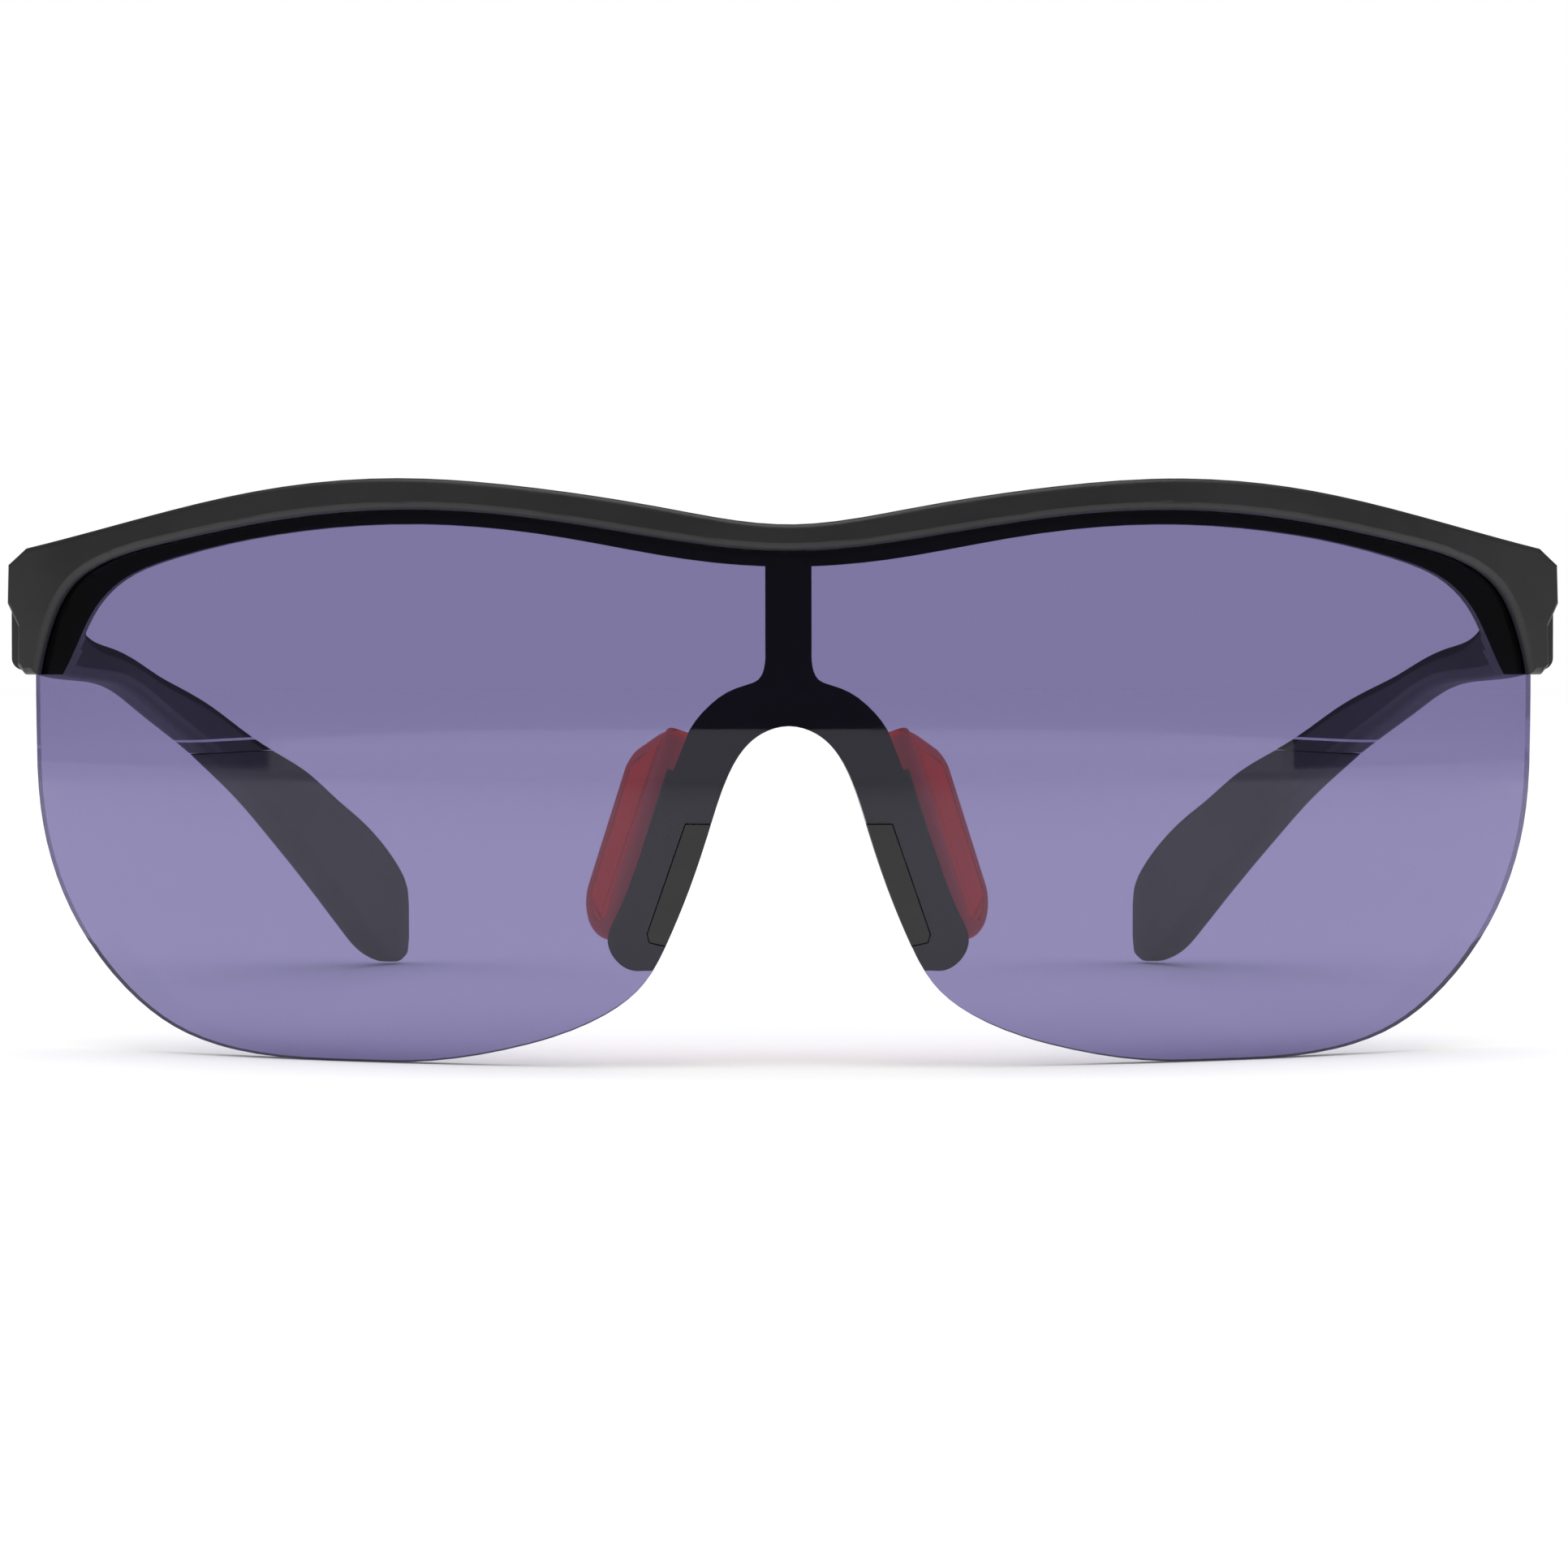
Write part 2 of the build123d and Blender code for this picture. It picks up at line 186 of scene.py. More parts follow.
class Nodes:
    """The node tree of one material or world."""

    def __init__(self, tree: bpy.types.NodeTree) -> None:
        """Empty the tree and keep it.

        Args:
            tree: The tree to build in.
        """
        tree.nodes.clear()
        self.tree = tree

    def add(self, kind: str, settings: dict[str, object], inputs: dict[object, object]) -> bpy.types.Node:
        """Add any node.

        Args:
            kind: The node's type name.
            settings: Attributes that are set before the sockets, or the stops of a ramp.
            inputs: Values or links by socket name or number.

        Returns:
            The new node.
        """
        node = self.tree.nodes.new(kind)
        for name, value in settings.items():
            if name == "stops":
                self._fill_ramp(node.color_ramp, value)
            else:
                setattr(node, name, value)
        for key, value in inputs.items():
            socket = node.inputs[key]
            if isinstance(value, Value):
                value = value.socket
            if isinstance(value, bpy.types.NodeSocket):
                self.tree.links.new(value, socket)
            else:
                socket.default_value = value
        return node

    @staticmethod
    def _fill_ramp(ramp: bpy.types.ColorRamp, stops: list[tuple[float, float]]) -> None:
        """Give a ramp its grey stops.

        Args:
            ramp: The ramp, with its two first stops.
            stops: Place and grey level of each stop.
        """
        while len(ramp.elements) < len(stops):
            ramp.elements.new(0.5)
        for element, (place, grey) in zip(ramp.elements, stops):
            element.position = place
            element.color = (grey, grey, grey, 1)

    def vector(self, operation: str, first: object, second: object = (0, 0, 0)) -> bpy.types.NodeSocket:
        """Add one Vector Math node.

        Args:
            operation: The node's operation.
            first: First vector or socket.
            second: Second vector or socket.

        Returns:
            The vector socket.
        """
        return self.add("ShaderNodeVectorMath", {"operation": operation}, {0: first, 1: second}).outputs[0]

    def noise(self, scale: float, detail: float,
              stretch: tuple[float, float, float] = (1, 1, 1)) -> Value:
        """Noise on Object coordinates.

        Args:
            scale: Cells per metre.
            detail: Octaves.
            stretch: Scale of the pattern along each axis.

        Returns:
            The noise as a Value around 0.5.
        """
        place = self.add("ShaderNodeTexCoord", {}, {}).outputs["Object"]
        if stretch != (1, 1, 1):
            place = self.add("ShaderNodeMapping", {}, {"Vector": place, "Scale": stretch}).outputs[0]
        node = self.add("ShaderNodeTexNoise", {}, {"Vector": place, "Scale": scale, "Detail": detail})
        return Value(self, node.outputs[0])

    def mix(self, factor: object, first: tuple, second: tuple) -> bpy.types.NodeSocket:
        """Mix two colours.

        Args:
            factor: A Value or number from 0 to 1.
            first: Colour at 0.
            second: Colour at 1.

        Returns:
            The colour socket.
        """
        node = self.add("ShaderNodeMix", {"data_type": "RGBA"}, {0: factor, 6: (*first, 1), 7: (*second, 1)})
        return node.outputs[2]

    def lay(self, factor: Value, under: bpy.types.NodeSocket, colour: tuple) -> bpy.types.NodeSocket:
        """Lay a plain colour over another socket's colour.

        Args:
            factor: Where the colour covers.
            under: The colour beneath.
            colour: The colour laid over it.

        Returns:
            The colour socket.
        """
        node = self.add("ShaderNodeMix", {"data_type": "RGBA"}, {0: factor, 6: under, 7: (*colour, 1)})
        return node.outputs[2]

    def ramp(self, value: Value, stops: list[tuple[float, float]]) -> Value:
        """Send a value through a grey ramp.

        Args:
            value: The value to change.
            stops: Place and grey level of each stop.

        Returns:
            The ramp's level as a Value.
        """
        node = self.add("ShaderNodeValToRGB", {"stops": stops}, {0: value})
        return Value(self, node.outputs[0])

    def bump(self, height: Value, strength: float, depth: float) -> bpy.types.NodeSocket:
        """Bump from a height.

        Args:
            height: The height field.
            strength: Strength of the effect.
            depth: Real depth in metres.

        Returns:
            The normal socket.
        """
        node = self.add("ShaderNodeBump", {}, {"Height": height, "Strength": strength, "Distance": depth})
        return node.outputs[0]

    def finish(self, shader: bpy.types.NodeSocket, world: bool = False) -> None:
        """Connect the output.

        Args:
            shader: The shader that is shown.
            world: Whether this is a world's tree.
        """
        kind = "ShaderNodeOutputWorld" if world else "ShaderNodeOutputMaterial"
        self.add(kind, {}, {"Surface": shader})


def linear(red: int, green: int, blue: int) -> tuple[float, float, float]:
    """Turn an 8-bit display colour into linear light.

    Args:
        red: Red level.
        green: Green level.
        blue: Blue level.

    Returns:
        The linear colour.
    """
    levels = [level / 255 for level in (red, green, blue)]
    return tuple(v / 12.92 if v <= 0.04045 else ((v + 0.055) / 1.055) ** 2.4 for v in levels)


def new_material(name: str) -> tuple[bpy.types.Material, Nodes]:
    """Start a material with an empty tree.

    Args:
        name: The material's name.

    Returns:
        The material and its tree.
    """
    material = bpy.data.materials.new(name)
    material.use_nodes = True
    return material, Nodes(material.node_tree)


def linked(mesh: bmesh.types.BMesh, name: str) -> bpy.types.Object:
    """Turn a bmesh into an object of the scene.

    Args:
        mesh: The bmesh, in metres. It is freed.
        name: Name of the object and its mesh.

    Returns:
        The object, at the origin.
    """
    data = bpy.data.meshes.new(name)
    mesh.to_mesh(data)
    mesh.free()
    made = bpy.data.objects.new(name, data)
    bpy.context.collection.objects.link(made)
    return made


# --- finishes ------------------------------------------------------------------------------


class Grain(Enum):
    """Depth in metres and cells per metre of the texture that a mould leaves."""

    SATIN = (0.000004, 9000.0)
    MATTE = (0.000010, 6500.0)
    SOFT = (0.000009, 5000.0)


@dataclass(frozen=True)
class PaintedShadeAndHighlight:
    """Level strip of painted shade, with a line of painted highlight on top of it. Heights in metres."""

    low: float
    high: float
    # Colours of the painted shade in the strip and of the painted highlight line above it.
    shade: tuple[float, float, float]
    painted_highlight: tuple[float, float, float]
    width: float = 0.00026

    def over(self, nodes: Nodes, colour: bpy.types.NodeSocket) -> bpy.types.NodeSocket:
        """Lay the strip of painted shade and its line of painted highlight over a colour.

        Args:
            nodes: The tree to build in.
            colour: The colour under the strip.

        Returns:
            The colour with the strip.
        """
        place = nodes.add("ShaderNodeTexCoord", {}, {}).outputs["Object"]
        height = Value(nodes, nodes.add("ShaderNodeSeparateXYZ", {}, {0: place}).outputs["Z"])
        # Painted shade in the strip, painted highlight in the thin line over it.
        painted_shade_strip = (height > self.low) * (height < self.high)
        painted_highlight = (height > self.high) * (height < self.high + self.width)
        return nodes.lay(painted_highlight, nodes.lay(painted_shade_strip, colour, self.shade), self.painted_highlight)


@dataclass(frozen=True)
class MouldedPlastic:
    """Moulded nylon or rubber with a fine eroded grain."""

    name: str
    colour: tuple[float, float, float]
    worn: tuple[float, float, float]
    roughness: float
    grain: Grain
    sheen: float = 0.0
    shine: float = 0.5
    # Optional strip of painted shade with a painted highlight line above it.
    painted_shade_and_highlight: PaintedShadeAndHighlight | None = None
    # The glow share feeds subsurface scattering and, scaled once more, an emission of the surface's own
    # colour: painted light, not a lamp.
    glow: float = 0.0
    scatter: float = 0.002
    # Scale of that painted-light emission.
    painted_light_level: float = 0.8

    def build(self) -> bpy.types.Material:
        """Make the material.

        Returns:
            The finished material.
        """
        material, nodes = new_material(self.name)
        depth, cells = self.grain.value
        fine = nodes.noise(cells, 1.0)
        clouds = nodes.noise(55.0, 3.0)
        flow = nodes.noise(260.0, 2.0, (0.35, 1.0, 1.0))
        shade = nodes.ramp(clouds * 0.6 + flow * 0.4, [(0.36, 0.0), (0.66, 1.0)])
        colour = nodes.mix(shade, self.colour, self.worn)
        # Lay the strip of painted shade and its painted highlight line, where one is given.
        if self.painted_shade_and_highlight:
            colour = self.painted_shade_and_highlight.over(nodes, colour)
        rough = (self.roughness - 0.07) + clouds * 0.09 + fine * 0.05
        # Emission of the surface's own colour is painted light; it is on only where a glow is set, on the
        # nose pads.
        shader = nodes.add("ShaderNodeBsdfPrincipled", {}, {
            "Base Color": colour, "Roughness": rough, "Normal": nodes.bump(fine, 0.55, depth),
            "Sheen Weight": self.sheen, "Specular IOR Level": self.shine,
            "Subsurface Weight": self.glow, "Subsurface Scale": self.scatter,
            "Emission Color": colour, "Emission Strength": self.painted_light_level * self.glow})
        nodes.finish(shader.outputs[0])
        return material


@dataclass(frozen=True)
class SatinMetal:
    """Tumbled or blackened steel with short scratches."""

    name: str
    colour: tuple[float, float, float]
    roughness: float

    def build(self) -> bpy.types.Material:
        """Make the material.

        Returns:
            The finished material.
        """
        material, nodes = new_material(self.name)
        brushed = nodes.noise(2600.0, 3.0, (1.0, 1.0, 0.12))
        spots = nodes.noise(500.0, 3.0)
        dark = tuple(0.7 * c for c in self.colour)
        colour = nodes.mix(nodes.ramp(spots, [(0.35, 0.0), (0.7, 1.0)]), self.colour, dark)
        shader = nodes.add("ShaderNodeBsdfPrincipled", {}, {
            "Base Color": colour, "Metallic": 1.0, "Roughness": self.roughness - 0.08 + brushed * 0.16,
            "Normal": nodes.bump(brushed, 0.35, 0.000006)})
        nodes.finish(shader.outputs[0])
        return material


@dataclass(frozen=True)
class TintedLens:
    """Polished see-through lens that is tinted through its whole thickness."""

    name: str
    passes: tuple[float, float, float]
    mirror: tuple[float, float, float]
    rim: tuple[float, float, float] = (0.035, 0.032, 0.050)
    straight_on: float = 0.04
    axis_back: float = 0.0176
    crown: float = 0.024
    flattening: float = 0.594
    rim_slant: float = 0.6
    rim_share: float = 0.85

    def build(self) -> bpy.types.Material:
        """Make the material. Each of the two faces lets through the root of what the lens passes.

        Returns:
            The finished material.
        """
        material, nodes = new_material(self.name)
        face = tuple(part ** 0.5 for part in self.passes)
        clear = nodes.add("ShaderNodeBsdfTransparent", {}, {"Color": (*face, 1)})
        place = nodes.add("ShaderNodeTexCoord", {}, {})
        out = nodes.vector("SUBTRACT", place.outputs["Object"], (0, self.axis_back, self.crown))
        out = nodes.vector("NORMALIZE", nodes.vector("MULTIPLY", out, (1, 1, self.flattening)))
        level = nodes.add("ShaderNodeVectorMath", {"operation": "DOT_PRODUCT"},
                          {0: out, 1: place.outputs["Normal"]}).outputs["Value"]
        rim = (Value(nodes, level) < self.rim_slant) * (Value(nodes, level) > -self.rim_slant)
        wiped = nodes.ramp(nodes.noise(70.0, 4.0, (1.0, 1.0, 0.4)), [(0.45, 0.0), (0.75, 1.0)])
        gloss = nodes.add("ShaderNodeBsdfPrincipled", {}, {
            "Base Color": nodes.mix(rim, self.mirror, self.rim), "Metallic": 1.0,
            "Roughness": 0.03 + wiped * 0.05})
        turned = Value(nodes, nodes.add("ShaderNodeLayerWeight", {}, {"Blend": 0.5}).outputs["Facing"])
        mirrored = self.straight_on + (1 - self.straight_on) * turned ** 5.0
        share = mirrored * (1 - rim) + rim * self.rim_share
        both = nodes.add("ShaderNodeMixShader", {}, {0: share, 1: clear.outputs[0], 2: gloss.outputs[0]})
        nodes.finish(both.outputs[0])
        return material


class Palette:
    """All finishes of the glasses, each made once."""

    def __init__(self) -> None:
        """Make the materials."""
        # On the arms: painted shade of the gap between arm and sleeve, under a painted highlight along the
        # edge above it.
        seam = PaintedShadeAndHighlight(0.0253, 0.0265, linear(10, 10, 12), linear(215, 215, 220))
        self.brow = MouldedPlastic("brow_nylon", linear(28, 28, 30), linear(35, 35, 37), 0.43,
                                   Grain.MATTE).build()
        self.arm = MouldedPlastic("arm_nylon", linear(38, 38, 41), linear(46, 46, 49), 0.42, Grain.MATTE,
                                  painted_shade_and_highlight=seam).build()
        self.bracket = MouldedPlastic("bracket_nylon", linear(33, 33, 34), linear(40, 39, 40), 0.5,
                                      Grain.SATIN).build()
        self.insert = MouldedPlastic("insert_nylon", linear(150, 34, 34), linear(160, 42, 40), 0.4,
                                     Grain.SATIN).build()
        # The nose pads glow: subsurface scattering plus an emission of their red, painted light in place of
        # the light that the tinted lens keeps off them.
        self.pad = MouldedPlastic("pad_rubber", linear(248, 84, 84), linear(250, 100, 96), 0.6, Grain.SATIN,
                                  0.05, glow=0.3).build()
        self.tip = MouldedPlastic("tip_rubber", linear(46, 44, 47), linear(53, 51, 54), 0.66, Grain.SOFT,
                                  0.04, 0.35).build()
        self.accent = MouldedPlastic("accent_grey", linear(160, 160, 162), linear(172, 172, 174), 0.4,
                                     Grain.SATIN).build()
        self.washer = MouldedPlastic("washer_nylon", linear(222, 220, 212), linear(232, 230, 224), 0.38,
                                     Grain.SATIN).build()
        self.steel = SatinMetal("hinge_steel", linear(182, 182, 185), 0.34).build()
        self.screw = SatinMetal("screw_steel", linear(120, 120, 124), 0.3).build()
        self.lens = TintedLens("lens_tint", (0.218, 0.196, 0.382), (0.9, 0.9, 0.9)).build()


# --- pieces --------------------------------------------------------------------------------


class Side(Enum):
    """The wearer's two sides, and the sign of X on each."""

    LEFT = ("left", 1.0)
    RIGHT = ("right", -1.0)


def joint_named(name: str) -> dict:
    """Find a joint of the part.

    Args:
        name: The joint's name.

    Returns:
        The joint's entry, with its place in metres.
    """
    return next(joint for joint in frame["joints"] if joint["name"] == name)


def dress(node: str, material: bpy.types.Material) -> None:
    """Give a CAD node one finish.

    Args:
        node: The node's name.
        material: The finish.
    """
    mesh = frame["nodes"][node].data
    mesh.materials.clear()
    mesh.materials.append(material)
    LOG.info("dressed %s in %s", node, material.name)


def into_object(mesh: bmesh.types.BMesh, name: str, side: Side,
                material: bpy.types.Material) -> bpy.types.Object:
    """Turn a left-hand bmesh into a finished object, mirrored for the right.

    Args:
        mesh: The bmesh, in metres, on the wearer's left. It is freed.
        name: Name without the side.
        side: The side the object is for.
        material: Its finish.

    Returns:
        The object, at the origin.
    """
    label, sign = side.value
    bmesh.ops.remove_doubles(mesh, verts=mesh.verts, dist=WELD)
    bmesh.ops.scale(mesh, vec=(sign, 1, 1), verts=mesh.verts)
    bmesh.ops.recalc_face_normals(mesh, faces=mesh.faces)
    piece = linked(mesh, f"{name}_{label}")
    faces = piece.data.polygons
    faces.foreach_set("use_smooth", [True] * len(faces))
    piece.data.materials.append(material)
    LOG.info("built %s with %d faces", piece.name, len(faces))
    return piece


@dataclass
class NosePads:
    """The two soft pads, each a rounded blade on its swivelling insert. Sizes in millimetres."""

    palette: Palette
    splay: float = 38.0
    near: float = 2.3
    far: float = 8.0
    top: float = 10.02
    foot: float = -9.48
    thickness: float = 2.6
    slope: float = 3.4
    corner: float = 1.5
    rim: float = 0.95

    def outline(self, inset: float) -> list[tuple[float, float]]:
        """Corners of the blade's outline, each side moved inwards.

        Args:
            inset: Distance that each side moves.

        Returns:
            The six corners.
        """
        corners = [Vector(c) for c in (
            (self.near, self.foot), (self.far - 2.4, self.foot), (self.far, self.foot + 2.6),
            (self.far, self.top - self.slope), (self.far - 4.2, self.top), (self.near, self.top))]
        moved = []
        for k, corner in enumerate(corners):
            before = (corner - corners[k - 1]).normalized()
            after = (corners[(k + 1) % 6] - corner).normalized()
            normals = Vector((-before.y, before.x)) + Vector((-after.y, after.x))
            moved.append(corner + normals * inset / (1 + before.dot(after)))
        return [tuple(corner) for corner in moved]

    def ring(self, mesh: bmesh.types.BMesh, inset: float, height: float) -> list[bmesh.types.BMEdge]:
        """Add the outline as one loop with rounded corners.

        Args:
            mesh: The bmesh that gets the loop.
            inset: Distance inwards from the full outline.
            height: Place of the loop through the blade.

        Returns:
            The loop's edges.
        """
        known = set(mesh.verts)
        face = bmesh.ops.create_circle(mesh, segments=6, radius=1, cap_ends=True)["verts"]
        for vert, (x, z) in zip(face, self.outline(inset)):
            vert.co = (x * MM, height * MM, z * MM)
        bmesh.ops.bevel(mesh, geom=face, offset=max(self.corner - 0.6 * inset, 0.3) * MM, segments=8,
                        affect="VERTICES", profile=0.5, material=-1)
        fresh = set(mesh.verts) - known
        faces = [f for f in mesh.faces if f.verts[0] in fresh]
        edges = [e for f in faces for e in f.edges]
        bmesh.ops.delete(mesh, geom=faces, context="FACES_ONLY")
        return edges

    def blade(self) -> bmesh.types.BMesh:
        """Model one pad flat: X runs back along the pad, Z up, and Y through it.

        Returns:
            The pad in its own place, in metres.
        """
        mesh = bmesh.new()
        half = self.thickness / 2
        steps = [math.radians(15 * k) for k in range(7)]
        side = [(self.rim * (1 - math.cos(a)), half - self.rim + self.rim * math.sin(a)) for a in steps]
        side += [(self.rim + more, half) for more in (0.3, 0.7)]
        rings = [self.ring(mesh, inset, -height) for inset, height in reversed(side)]
        rings += [self.ring(mesh, inset, height) for inset, height in side]
        for one, other in zip(rings, rings[1:]):
            bmesh.ops.bridge_loops(mesh, edges=one + other)
        bmesh.ops.contextual_create(mesh, geom=rings[0])
        bmesh.ops.contextual_create(mesh, geom=rings[-1])
        return mesh

    def placing(self) -> Matrix:
        """Find where the left pad sits, from its swivel joint.

        Returns:
            The matrix that takes the flat blade to its seat.
        """
        joint = joint_named("left_pad_swivel")
        up = Vector(joint["axis"]).normalized()
        out = Vector((up.z, 0, -up.x))
        turn = math.radians(self.splay)
        along = out * math.sin(turn) + Vector((0, 1, 0)) * math.cos(turn)
        across = up.cross(along)
        return Matrix.Translation(joint["pos_m"]) @ Matrix((along, across, up)).transposed().to_4x4()

    def build(self) -> None:
        """Model both pads and hang them on their bodies."""
        for side in Side:
            mesh = self.blade()
            bmesh.ops.transform(mesh, matrix=self.placing(), verts=mesh.verts)
            pad = into_object(mesh, "soft_nose_pad", side, self.palette.pad)
            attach(pad, f"pad_{side.value[0]}")
            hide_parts(f"nose_pad_{side.value[0]}")
            dress(f"pad_insert_{side.value[0]}", self.palette.insert)


@dataclass
class TempleTips:
    """The two rubber sleeves that go behind the ears. Sizes in millimetres from the hinge axis."""

    palette: Palette
    length: float = 119.0
    butt: float = -1.2
    seam: float = -14.3
    corner: float = 1.15
    lip: float = 0.35
    lip_angle: float = 0.9
    sections: int = 56
    rows: list[tuple[float, float, float, float, float]] = field(default_factory=lambda: [
        (0.54, -8.10, -4.80, -14.4, -9.1), (0.67, -12.2, -8.60, -20.0, -13.4),
        (0.76, -15.9, -12.2, -25.8, -16.5), (0.84, -18.9, -15.2, -31.0, -20.1),
        (0.90, -21.1, -17.4, -35.0, -22.7), (0.94, -22.7, -19.1, -37.8, -25.0),
        (0.97, -24.2, -20.6, -39.1, -27.6), (0.99, -25.0, -21.7, -39.2, -29.8),
        (1.00, -25.1, -22.6, -37.8, -31.8)])

    def between(self, share: float) -> list[float]:
        """Smooth section at a share of the length, through the listed ones.

        Args:
            share: Share of the temple's length.

        Returns:
            Inner side, outer side, low and high side.
        """
        rows = self.rows
        k = max(i for i in range(len(rows) - 1) if rows[i][0] <= share + 1e-9)
        before, low, high, after = rows[max(k - 1, 0)], rows[k], rows[k + 1], rows[min(k + 2, len(rows) - 1)]
        gap = high[0] - low[0]
        t = (share - low[0]) / gap
        result = []
        for i in range(1, 5):
            start = (high[i] - before[i]) / (high[0] - before[0]) * gap
            end = (after[i] - low[i]) / (after[0] - low[0]) * gap
            result.append((2 * t**3 - 3 * t**2 + 1) * low[i] + (t**3 - 2 * t**2 + t) * start
                          + (3 * t**2 - 2 * t**3) * high[i] + (t**3 - t**2) * end)
        return result

    def ring(self, mesh: bmesh.types.BMesh, share: float) -> list[bmesh.types.BMEdge]:
        """Add one rounded section as a loop of edges.

        Args:
            mesh: The bmesh that gets the loop.
            share: Share of the temple's length.

        Returns:
            The loop's edges.
        """
        inner, outer, low, high = self.between(share)
        wide, tall = outer - inner, high - low
        corner = min(self.corner, 0.45 * wide, 0.45 * tall)
        made = bmesh.ops.create_grid(mesh, x_segments=1, y_segments=1, size=0.5)["verts"]
        bmesh.ops.scale(mesh, vec=(wide * MM, tall * MM, 1), verts=made)
        known = set(mesh.verts) - set(made)
        bmesh.ops.bevel(mesh, geom=made, offset=corner * MM, segments=7, affect="VERTICES", profile=0.5,
                        material=-1)
        fresh = [v for v in mesh.verts if v not in known]
        bmesh.ops.rotate(mesh, cent=(0, 0, 0), matrix=Matrix.Rotation(math.pi / 2, 3, "X"), verts=fresh)
        place = ((inner + outer) / 2 * MM, (self.butt + share * self.length) * MM, (low + high) / 2 * MM)
        bmesh.ops.translate(mesh, vec=place, verts=fresh)
        faces = [f for f in mesh.faces if f.verts[0] in fresh]
        edges = [e for f in faces for e in f.edges]
        bmesh.ops.delete(mesh, geom=faces, context="FACES_ONLY")
        return edges

    def sleeve(self) -> bmesh.types.BMesh:
        """Model the left sleeve: bridged sections, a rounded end and a level cut at its mouth.

        Returns:
            The sleeve in metres from the hinge axis.
        """
        mesh = bmesh.new()
        first, last = self.rows[0][0], self.rows[-1][0]
        shares = [first + (last - first) * k / self.sections for k in range(self.sections + 1)]
        rings = [self.ring(mesh, share) for share in shares]
        for one, other in zip(rings, rings[1:]):
            bmesh.ops.bridge_loops(mesh, edges=one + other)
        bmesh.ops.contextual_create(mesh, geom=rings[-1])
        bmesh.ops.contextual_create(mesh, geom=rings[0])
        bmesh.ops.recalc_face_normals(mesh, faces=mesh.faces)
        everything = mesh.verts[:] + mesh.edges[:] + mesh.faces[:]
        bmesh.ops.bisect_plane(mesh, geom=everything, plane_co=(0, 0, self.seam * MM), plane_no=(0, 0, 1),
                               clear_outer=True)
        rim = [e for e in mesh.edges if e.is_boundary]
        bmesh.ops.contextual_create(mesh, geom=rim)
        bmesh.ops.recalc_face_normals(mesh, faces=mesh.faces)
        return mesh

    def build(self) -> None:
        """Model both sleeves and hang them on their temples."""
        hinge = Vector(joint_named("left_temple_fold")["pos_m"])
        for side in Side:
            mesh = self.sleeve()
            bmesh.ops.translate(mesh, vec=hinge, verts=mesh.verts)
            tip = into_object(mesh, "soft_temple_tip", side, self.palette.tip)
            edge = tip.modifiers.new("lip", "BEVEL")
            edge.width, edge.segments = self.lip * MM, 3
            edge.limit_method, edge.angle_limit = "ANGLE", self.lip_angle
            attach(tip, f"temple_{side.value[0]}")
            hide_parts(f"temple_tip_{side.value[0]}")


@dataclass
class Front:
    """Brow, lens and nose brackets."""

    palette: Palette

    def build(self) -> None:
        """Dress the moulded front and the lens."""
        dress("front_frame", self.palette.brow)
        dress("shield_lens", self.palette.lens)
        for side in Side:
            dress(f"nose_leg_{side.value[0]}", self.palette.bracket)


@dataclass
class Temples:
    """Arms, inlays and hinges."""

    palette: Palette

    def build(self) -> None:
        """Dress both temples and their hinges."""
        finishes = {"temple_arm": self.palette.arm, "temple_accent": self.palette.accent,
                    "temple_hinge": self.palette.steel, "front_hinge": self.palette.steel,
                    "hinge_screw": self.palette.screw, "front_rivets": self.palette.screw,
                    "temple_rivets": self.palette.screw, "hinge_washers": self.palette.washer}
        for side in Side:
            for node, finish in finishes.items():
                dress(f"{node}_{side.value[0]}", finish)


# --- studio --------------------------------------------------------------------------------


@dataclass(frozen=True)
class SoftBox:
    """One soft lamp that faces the glasses: place and size in metres, power in watts."""

    name: str
    place: tuple[float, float, float]
    size: tuple[float, float]
    power: float
    mirrored: bool = False

    def build(self) -> None:
        """Hang the lamp. Polished faces show it only where it is mirrored."""
        data = bpy.data.lights.new(self.name, "AREA")
        data.shape, data.size, data.size_y, data.energy = "RECTANGLE", *self.size, self.power
        lamp = bpy.data.objects.new(self.name, data)
        lamp.location = self.place
        aim = Vector((0, 0, 0.02)) - Vector(self.place)
        lamp.rotation_euler = aim.to_track_quat("-Z", "Y").to_euler()
        lamp.visible_glossy = self.mirrored
        bpy.context.collection.objects.link(lamp)


SOFT_BOXES = (
    SoftBox("top_box", (0.0, -0.05, 1.1), (1.3, 0.9), 7.0, True),
    SoftBox("left_box", (-1.0, -0.7, 0.6), (0.7, 0.9), 3.0),
    SoftBox("right_box", (1.0, -0.7, 0.6), (0.7, 0.9), 3.0),
    SoftBox("left_rim", (-0.95, 0.40, 0.30), (0.5, 0.5), 2.2),
    SoftBox("right_rim", (0.95, 0.40, 0.30), (0.5, 0.5), 2.2))


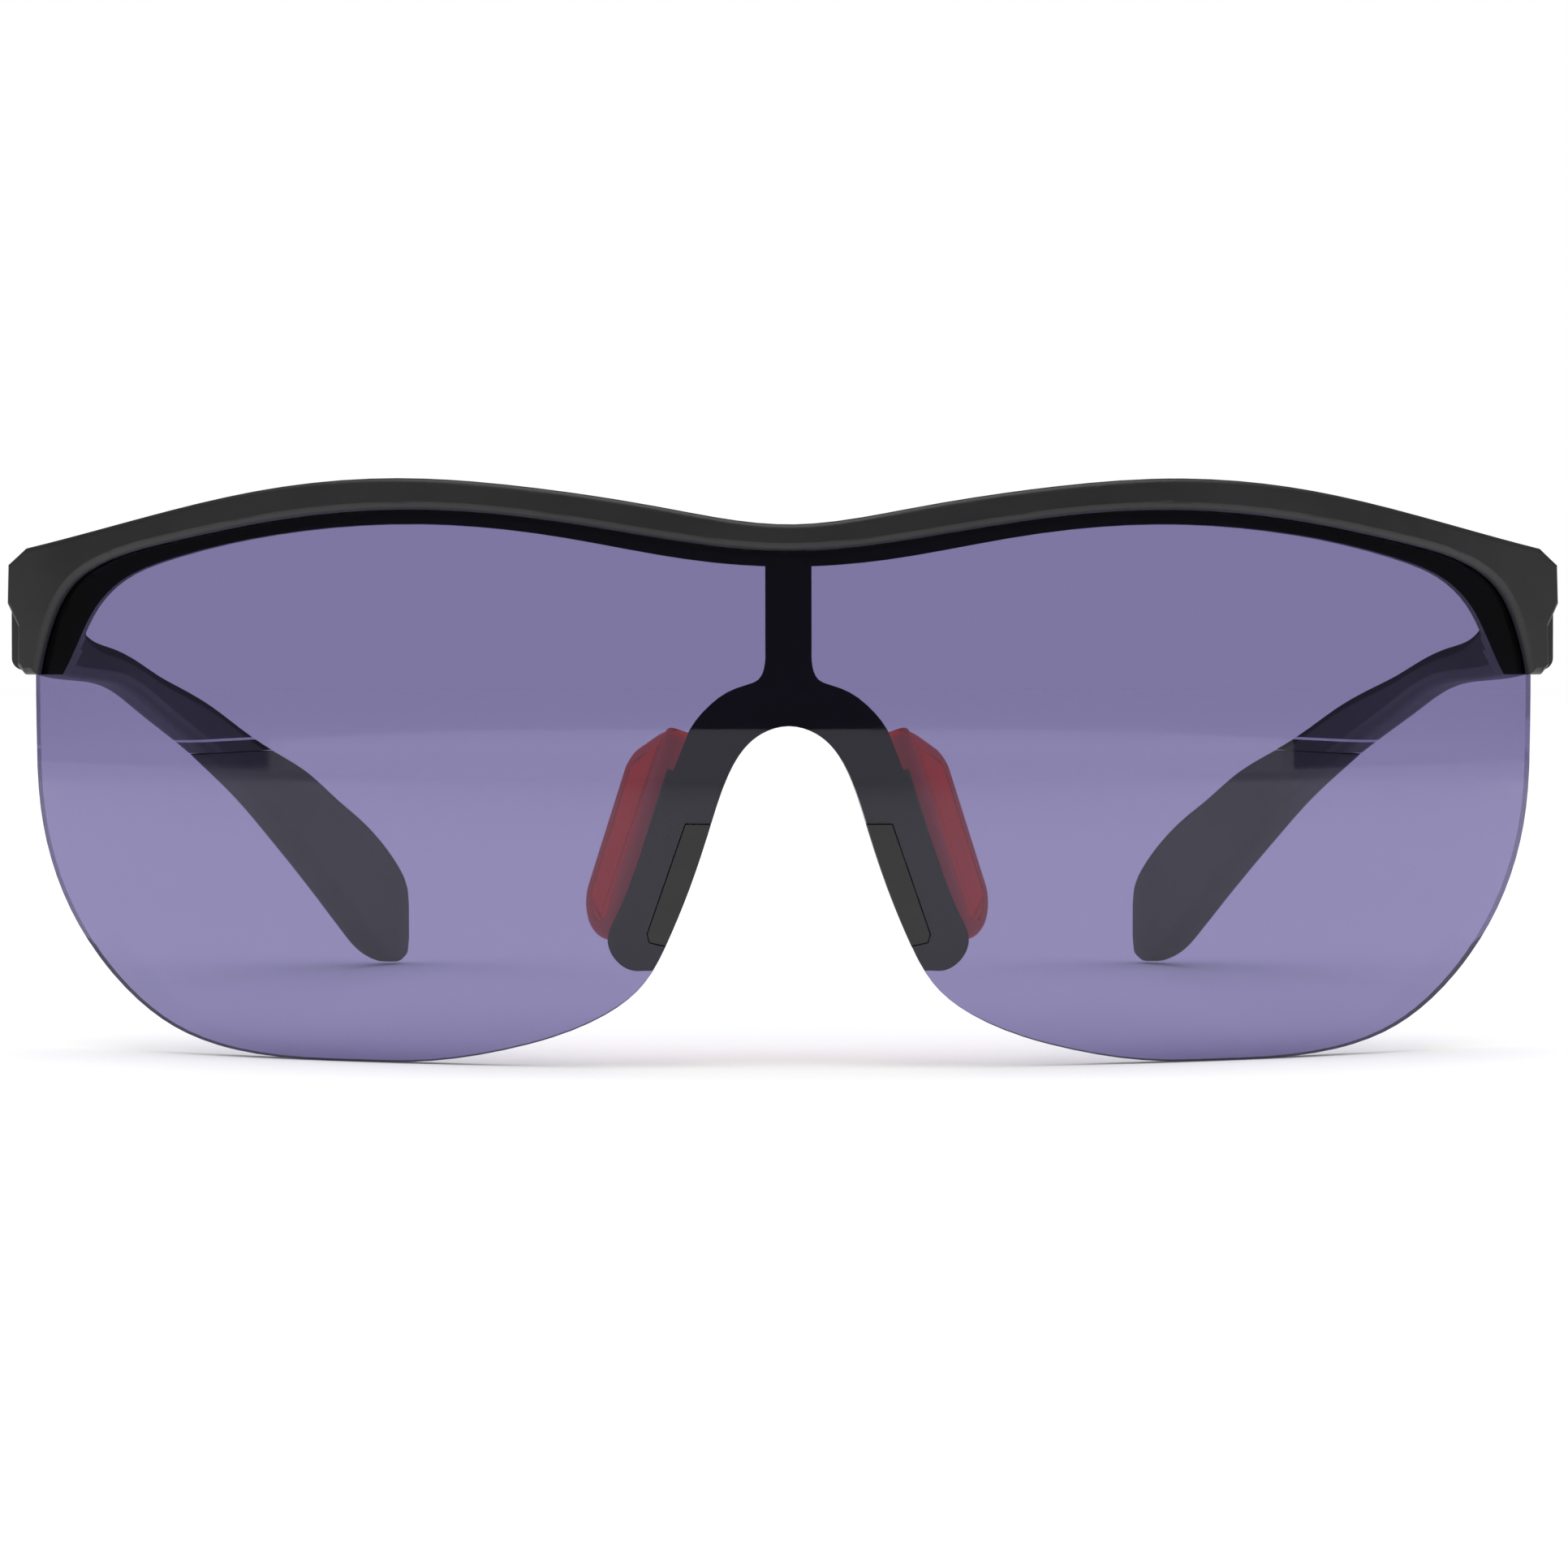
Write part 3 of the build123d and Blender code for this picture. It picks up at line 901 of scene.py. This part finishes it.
@dataclass
class Studio:
    """Pale floor, soft lamps, white surroundings and the camera."""

    floor_size: float = 8.0
    floor_grey: float = 0.80
    floor_drop: float = 0.00005
    floor_lift: tuple[float, float] = (0.06, 0.38)
    world_level: float = 0.76
    gloss_level: float = 0.10
    card_away: float = 1.6
    card_height: float = 0.114
    card_width: float = 6.0
    card_light: float = 0.8
    distance: float = 0.450
    camera_height: float = 0.0364
    camera_x: float = -0.006
    pitch: float = 1.498
    yaw: float = 0.71
    lens: float = 120.0

    def world(self) -> None:
        """Light from all round, and a white background for what the camera, gloss and glass see."""
        world = bpy.data.worlds.new("studio")
        bpy.context.scene.world = world
        world.use_nodes = True
        nodes = Nodes(world.node_tree)
        path = nodes.add("ShaderNodeLightPath", {}, {})
        seen = Value(nodes, path.outputs["Is Camera Ray"]) + path.outputs["Is Transmission Ray"]
        glossy = Value(nodes, path.outputs["Is Glossy Ray"])
        level = self.world_level - glossy * (self.world_level - self.gloss_level)
        light = nodes.add("ShaderNodeBackground", {}, {"Color": (1, 1, 1, 1), "Strength": level})
        white = nodes.add("ShaderNodeBackground", {}, {"Color": (1, 1, 1, 1), "Strength": 1.0})
        both = nodes.add("ShaderNodeMixShader", {}, {0: seen, 1: light.outputs[0], 2: white.outputs[0]})
        nodes.finish(both.outputs[0], world=True)

    def floor(self) -> None:
        """A wide pale floor that keeps the shadow and meets the white background."""
        mesh = bmesh.new()
        bmesh.ops.create_grid(mesh, x_segments=1, y_segments=1, size=self.floor_size / 2)
        floor = linked(mesh, "floor")
        floor.location.z = CAD_BOX[0][2] - self.floor_drop
        material, nodes = new_material("floor_white")
        path = nodes.add("ShaderNodeLightPath", {}, {})
        matt = nodes.add("ShaderNodeBsdfDiffuse", {}, {"Color": (self.floor_grey,) * 3 + (1,)})
        place = nodes.add("ShaderNodeTexCoord", {}, {}).outputs["Object"]
        length = nodes.add("ShaderNodeVectorMath", {"operation": "LENGTH"}, {0: place})
        away = Value(nodes, length.outputs[1]) * (2 / self.floor_size)
        lift = nodes.ramp(away, [(0.06, self.floor_lift[0]), (0.35, self.floor_lift[1])])
        glow = nodes.add("ShaderNodeEmission", {}, {
            "Color": (1, 1, 1, 1), "Strength": Value(nodes, path.outputs["Is Camera Ray"]) * lift})
        both = nodes.add("ShaderNodeAddShader", {}, {0: matt.outputs[0], 1: glow.outputs[0]})
        nodes.finish(both.outputs[0])
        floor.data.materials.append(material)

    def card(self) -> None:
        """A low white card in front, which only polished faces show."""
        mesh = bmesh.new()
        bmesh.ops.create_grid(mesh, x_segments=1, y_segments=1, size=0.5)
        bmesh.ops.scale(mesh, vec=(self.card_width, self.card_height, 1), verts=mesh.verts)
        bmesh.ops.rotate(mesh, cent=(0, 0, 0), matrix=Matrix.Rotation(math.pi / 2, 3, "X"), verts=mesh.verts)
        bmesh.ops.translate(mesh, vec=(0, -self.card_away, self.card_height / 2), verts=mesh.verts)
        card = linked(mesh, "front_card")
        material, nodes = new_material("card_white")
        light = nodes.add("ShaderNodeEmission", {}, {"Color": (1, 1, 1, 1), "Strength": self.card_light})
        nodes.finish(light.outputs[0])
        card.data.materials.append(material)
        card.visible_camera = card.visible_diffuse = card.visible_transmission = card.visible_shadow = False

    def camera(self) -> None:
        """A long lens, a little above the glasses, that looks straight at the front."""
        data = bpy.data.cameras.new("camera")
        data.lens, data.sensor_width, data.clip_start = self.lens, 36.0, 0.01
        camera = bpy.data.objects.new("camera", data)
        camera.location = (self.camera_x, CAD_BOX[0][1] - self.distance, self.camera_height)
        camera.rotation_euler = (math.radians(90 - self.pitch), 0, math.radians(-self.yaw))
        bpy.context.collection.objects.link(camera)
        bpy.context.scene.camera = camera

    def build(self) -> None:
        """Set the whole studio up."""
        self.world()
        self.floor()
        self.card()
        for box in SOFT_BOXES:
            box.build()
        self.camera()
        bpy.context.scene.view_settings.view_transform = "Standard"


def main() -> None:
    """Build the glasses and their studio in order."""
    logging.basicConfig(level=logging.INFO, format="%(name)s: %(message)s")
    palette = Palette()
    for part in (Front(palette), NosePads(palette), Temples(palette), TempleTips(palette), Studio()):
        part.build()
        LOG.info("%s done", type(part).__name__)


if __name__ == "__main__":
    main()
